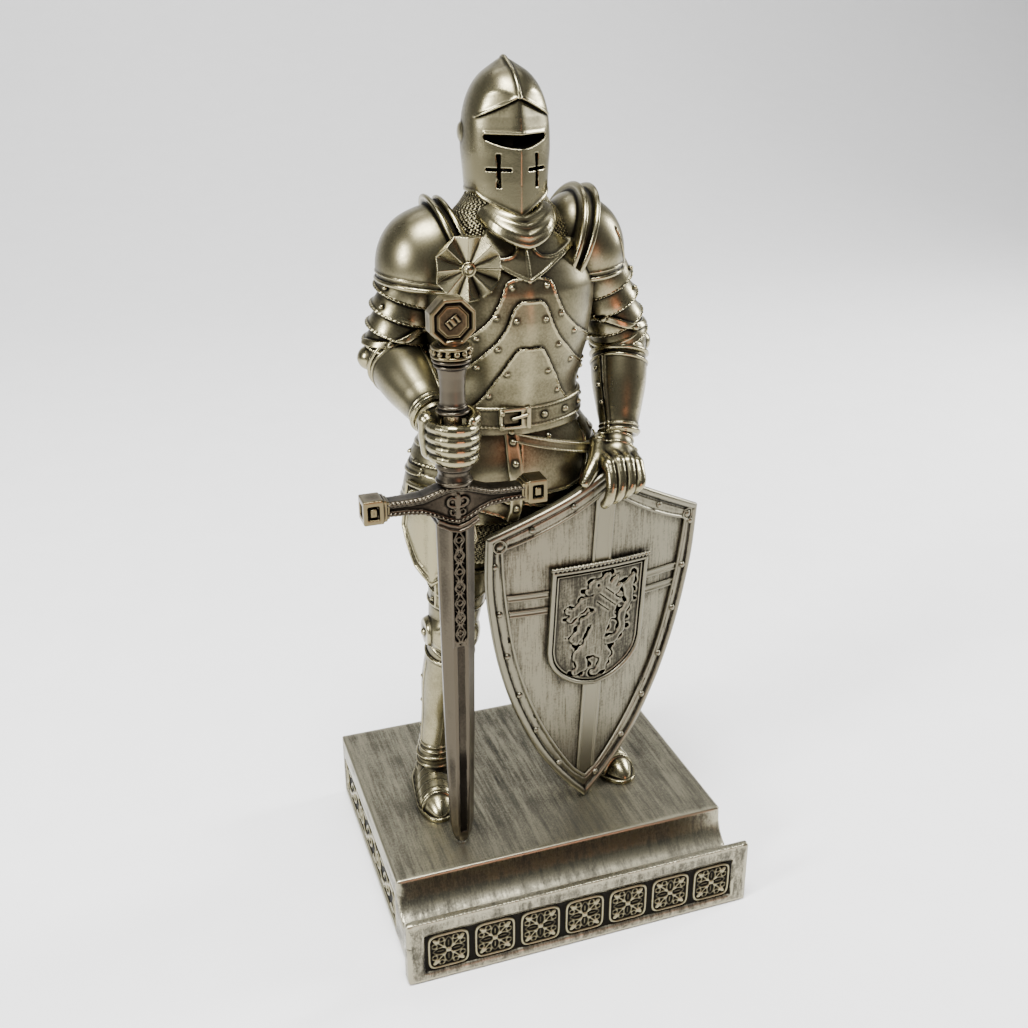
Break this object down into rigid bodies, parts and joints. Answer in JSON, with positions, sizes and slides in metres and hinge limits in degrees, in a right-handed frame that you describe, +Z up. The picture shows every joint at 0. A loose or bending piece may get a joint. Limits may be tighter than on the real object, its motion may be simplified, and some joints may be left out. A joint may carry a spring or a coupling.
{
  "type": "knight statuette pen stand",
  "caption": "Armoured knight statuette on a plinth with a phone ledge; the hilt of its sword is a pen that lifts out of the fist and the hollow blade.",
  "frame": {"origin": "centre of the plinth block's footprint (ledge left out), on the underside of the felt pad", "axes": "+Z up; -Y is the knight's front, where the ledge is; +X is the knight's left hand side, where the shield is"},
  "size_m": [0.1159, 0.1014, 0.2604],
  "materials": {
    "plated_armour": "satin antique plating, near black in the recesses",
    "plated_mail": "granular antique plating, near black between the rings",
    "plated_strap": "satin antique plating with a brown cast",
    "plated_shield": "brushed antique plating, dark in the grooves",
    "plated_base": "brushed antique plating, near black in the sunk panels",
    "bronze_sword": "satin dark bronze plating",
    "bronze_fittings": "antique brass plating rubbed bright on its edges",
    "pen_metal": "semi gloss dark bronze plating",
    "brass_tip": "turned brass",
    "refill_plastic": "gloss",
    "steel": "plain bright steel",
    "felt": "matt black felt"
  },
  "bodies": {
    "figure": {"base_felt": "felt", "base_plinth": "plated_base", "belt": "plated_strap", "belt_buckle": "plated_strap", "blade_locket": "bronze_sword", "blade_pin": "steel", "blade_sheath": "bronze_sword", "cross_guard": "bronze_sword", "cuirass": "plated_armour", "fauld": "plated_armour", "foot_screws": "steel", "gorget": "plated_armour", "guard_caps": "bronze_fittings", "hanging_strap": "plated_strap", "helmet": "plated_armour", "hilt_ring": "bronze_sword", "hip_dowels": "steel", "left_elbow": "plated_armour", "left_forearm": "plated_armour", "left_greave": "plated_armour", "left_hand": "plated_armour", "left_knee": "plated_armour", "left_pauldron": "plated_armour", "left_sabaton": "plated_armour", "left_tasset": "plated_armour", "left_thigh": "plated_armour", "left_upper_arm": "plated_armour", "mail_collar": "plated_mail", "mail_skirt": "plated_mail", "neck_dowel": "steel", "right_elbow": "plated_armour", "right_forearm": "plated_armour", "right_greave": "plated_armour", "right_hand": "plated_armour", "right_knee": "plated_armour", "right_pauldron": "plated_armour", "right_sabaton": "plated_armour", "right_tasset": "plated_armour", "right_thigh": "plated_armour", "right_upper_arm": "plated_armour", "rondel": "plated_armour", "rondel_boss": "plated_armour", "rondel_pin": "steel", "shield_badge": "plated_shield", "shield_bands": "plated_shield", "shield_border": "plated_shield", "shield_plate": "plated_shield", "shield_rivets": "plated_shield", "shoulder_dowels": "steel", "sword_belt": "plated_strap", "waist_dowel": "steel"},
    "pen": {"pen_barrel": "pen_metal", "pen_point": "brass_tip", "ink_refill": "refill_plastic"},
    "pen_handle": {"pen_grip": "bronze_sword", "beaded_collar": "bronze_fittings", "pommel": "bronze_fittings", "pommel_insets": "bronze_fittings"}
  },
  "joints": [
    {"name": "pen_draw", "type": "slide", "parent": "figure", "child": "pen", "axis": [0, 0, 1], "range_m": [0, 0.14]},
    {"name": "handle_twist", "type": "hinge", "parent": "pen", "child": "pen_handle", "pos_m": [-0.031, -0.029, 0.171], "axis": [0, 0, 1], "continuous": true}
  ]
}
